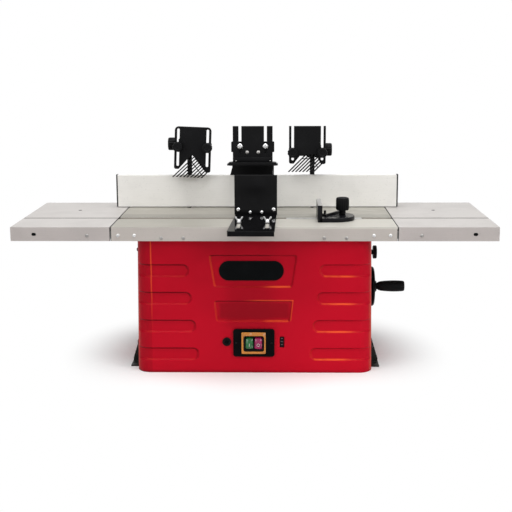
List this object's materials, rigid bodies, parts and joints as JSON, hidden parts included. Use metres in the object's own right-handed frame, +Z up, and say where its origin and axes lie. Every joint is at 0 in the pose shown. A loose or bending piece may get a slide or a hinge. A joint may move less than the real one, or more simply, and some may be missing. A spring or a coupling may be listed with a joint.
{
  "type": "benchtop spindle moulder",
  "caption": "Benchtop spindle moulder: ribbed red body, aluminium table with extensions, split fence with feather combs, pressure shoe, mitre gauge and a handwheel lift.",
  "frame": {"origin": "centre of the four foot holes, on the floor plane, below the middle of the table", "axes": "+X to the operator's right along the table, +Y away from the operator, +Z up"},
  "size_m": [1.04, 0.532, 0.5195],
  "materials": {
    "red_paint": "satin",
    "table_aluminium": "brushed",
    "fence_aluminium": "satin",
    "black_paint": "satin",
    "black_plastic": "matte",
    "black_gloss": "gloss",
    "amber_plastic": "gloss",
    "green_plastic": "gloss",
    "red_plastic": "gloss",
    "steel": "brushed",
    "zinc_steel": "bright",
    "cast_iron": "as cast",
    "brass": "machined"
  },
  "bodies": {
    "machine": {"body_shell": "red_paint", "base_plate": "black_paint", "mounting_feet": "black_paint", "frame_screws": "zinc_steel", "main_table": "table_aluminium", "table_insert_ring": "table_aluminium", "mitre_track": "fence_aluminium", "left_extension_table": "table_aluminium", "right_extension_table": "table_aluminium", "extension_rails": "steel", "badge_plate": "black_gloss", "switch_plate": "black_plastic", "switch_frame": "amber_plastic", "control_boxes": "black_plastic", "cable_gland": "black_plastic", "guide_rods": "steel", "shaft_bushes": "brass", "gear_stand": "cast_iron"},
    "motor_lift": {"motor_carriage": "cast_iron", "motor_housing": "black_paint", "spindle_bearings": "steel"},
    "spindle": {"armature": "steel", "collet": "steel", "collet_nut": "steel"},
    "screw": {"lead_screw": "steel", "screw_bevel_gear": "steel"},
    "crank": {"crank_shaft": "steel", "crank_bevel_gear": "steel", "handwheel": "black_gloss"},
    "grip": {"crank_grip": "black_plastic"},
    "lock": {"lock_knob": "black_plastic"},
    "fence": {"fence_frame": "black_paint", "cutter_hood": "black_plastic", "comb_posts": "black_paint", "centre_bracket": "black_paint", "pressure_bolts": "zinc_steel"},
    "left_face": {"left_fence_face": "fence_aluminium"},
    "right_face": {"right_fence_face": "fence_aluminium"},
    "left_clamp": {"left_fence_knob": "black_plastic"},
    "right_clamp": {"right_fence_knob": "black_plastic"},
    "left_holder": {"left_comb_holder": "black_plastic"},
    "right_holder": {"right_comb_holder": "black_plastic"},
    "left_feather": {"left_comb": "black_plastic"},
    "right_feather": {"right_comb": "black_plastic"},
    "left_side_knob": {"left_post_knob": "black_plastic"},
    "right_side_knob": {"right_post_knob": "black_plastic"},
    "pressure": {"slotted_plate": "black_paint", "pressure_shoe": "black_paint"},
    "guard": {"guard_foot": "black_paint", "guard_plate": "black_gloss", "guard_bolts": "zinc_steel"},
    "left_wing": {"left_wing_bolt": "zinc_steel"},
    "right_wing": {"right_wing_bolt": "zinc_steel"},
    "mitre": {"mitre_bar": "steel"},
    "mitre_face": {"mitre_head": "black_gloss"},
    "mitre_clamp": {"mitre_knob": "black_plastic"},
    "start": {"start_button": "green_plastic"},
    "stop": {"stop_button": "red_plastic"},
    "reset": {"reset_button": "black_plastic"},
    "dial": {"speed_dial": "black_plastic"}
  },
  "joints": [
    {"name": "handwheel_turn", "type": "hinge", "parent": "machine", "child": "crank", "pos_m": [0.27, 0.025, 0.15], "axis": [1, 0, 0], "range_deg": [0, 3600]},
    {"name": "lead_screw_turn", "type": "hinge", "parent": "machine", "child": "screw", "pos_m": [0, 0.025, 0.15], "axis": [0, 0, 1], "range_deg": [-3600, 0]},
    {"name": "spindle_lift", "type": "slide", "parent": "machine", "child": "motor_lift", "axis": [0, 0, 1], "range_m": [0, 0.0401]},
    {"name": "spindle_spin", "type": "hinge", "parent": "motor_lift", "child": "spindle", "pos_m": [0, 0.1, 0.29], "axis": [0, 0, 1], "continuous": true},
    {"name": "grip_spin", "type": "hinge", "parent": "crank", "child": "grip", "pos_m": [0.3, -0.00702, 0.15798], "axis": [1, 0, 0], "continuous": true},
    {"name": "lock_knob_turn", "type": "hinge", "parent": "machine", "child": "lock", "pos_m": [0.283, 0.1, 0.217], "axis": [1, 0, 0], "range_deg": [0, 540]},
    {"name": "fence_slide", "type": "slide", "parent": "machine", "child": "fence", "axis": [0, 1, 0], "range_m": [-0.04, 0.005]},
    {"name": "left_face_slide", "type": "slide", "parent": "fence", "child": "left_face", "axis": [1, 0, 0], "range_m": [-0.03, 0.02]},
    {"name": "right_face_slide", "type": "slide", "parent": "fence", "child": "right_face", "axis": [1, 0, 0], "range_m": [-0.02, 0.03]},
    {"name": "left_fence_knob_turn", "type": "hinge", "parent": "fence", "child": "left_clamp", "pos_m": [-0.1605, 0.1468, 0.345], "axis": [0, 0, 1], "range_deg": [0, 360]},
    {"name": "right_fence_knob_turn", "type": "hinge", "parent": "fence", "child": "right_clamp", "pos_m": [0.133, 0.1468, 0.345], "axis": [0, 0, 1], "range_deg": [0, 360]},
    {"name": "left_holder_slide", "type": "slide", "parent": "fence", "child": "left_holder", "axis": [0, 0, 1], "range_m": [-0.03, 0.015]},
    {"name": "right_holder_slide", "type": "slide", "parent": "fence", "child": "right_holder", "axis": [0, 0, 1], "range_m": [-0.03, 0.015]},
    {"name": "left_comb_slide", "type": "slide", "parent": "left_holder", "child": "left_feather", "axis": [0, 0, 1], "range_m": [-0.035, 0.04]},
    {"name": "right_comb_slide", "type": "slide", "parent": "right_holder", "child": "right_feather", "axis": [0, 0, 1], "range_m": [-0.05, 0.008]},
    {"name": "left_post_knob_turn", "type": "hinge", "parent": "left_holder", "child": "left_side_knob", "pos_m": [-0.2, 0.1291, 0.4745], "axis": [1, 0, 0], "range_deg": [0, 540]},
    {"name": "right_post_knob_turn", "type": "hinge", "parent": "right_holder", "child": "right_side_knob", "pos_m": [0.17, 0.1291, 0.4605], "axis": [1, 0, 0], "range_deg": [0, 540]},
    {"name": "pressure_slide", "type": "slide", "parent": "fence", "child": "pressure", "axis": [0, 0, 1], "range_m": [-0.04, 0.01]},
    {"name": "guard_slide", "type": "slide", "parent": "machine", "child": "guard", "axis": [0, 1, 0], "range_m": [0, 0.06]},
    {"name": "left_wing_bolt_turn", "type": "hinge", "parent": "machine", "child": "left_wing", "pos_m": [-0.033, -0.134, 0.33], "axis": [0, 0, 1], "range_deg": [0, 720]},
    {"name": "right_wing_bolt_turn", "type": "hinge", "parent": "machine", "child": "right_wing", "pos_m": [0.0285, -0.134, 0.33], "axis": [0, 0, 1], "range_deg": [0, 720]},
    {"name": "mitre_slide", "type": "slide", "parent": "machine", "child": "mitre", "axis": [1, 0, 0], "range_m": [-0.02, 0.06]},
    {"name": "mitre_swivel", "type": "hinge", "parent": "mitre", "child": "mitre_face", "pos_m": [0.156, -0.058, 0.33], "axis": [0, 0, 1], "range_deg": [-3, 60]},
    {"name": "mitre_knob_turn", "type": "hinge", "parent": "mitre", "child": "mitre_clamp", "pos_m": [0.195, -0.058, 0.355], "axis": [0, 0, 1], "range_deg": [0, 540]},
    {"name": "start_push", "type": "slide", "parent": "machine", "child": "start", "axis": [0, 1, 0], "range_m": [0, 0.003], "stiffness_N_per_m": 600},
    {"name": "stop_push", "type": "slide", "parent": "machine", "child": "stop", "axis": [0, 1, 0], "range_m": [0, 0.003], "stiffness_N_per_m": 600},
    {"name": "reset_push", "type": "slide", "parent": "machine", "child": "reset", "axis": [0, 1, 0], "range_m": [0, 0.002], "stiffness_N_per_m": 600},
    {"name": "speed_turn", "type": "hinge", "parent": "machine", "child": "dial", "pos_m": [0.06, -0.15251, 0.069], "axis": [1, 0, 0], "range_deg": [0, 270]}
  ],
  "couplings": [
    {"joint": "lead_screw_turn", "follows": "handwheel_turn", "ratio": -1},
    {"joint": "spindle_lift", "follows": "handwheel_turn", "m_per_rad": 0.00063662}
  ]
}
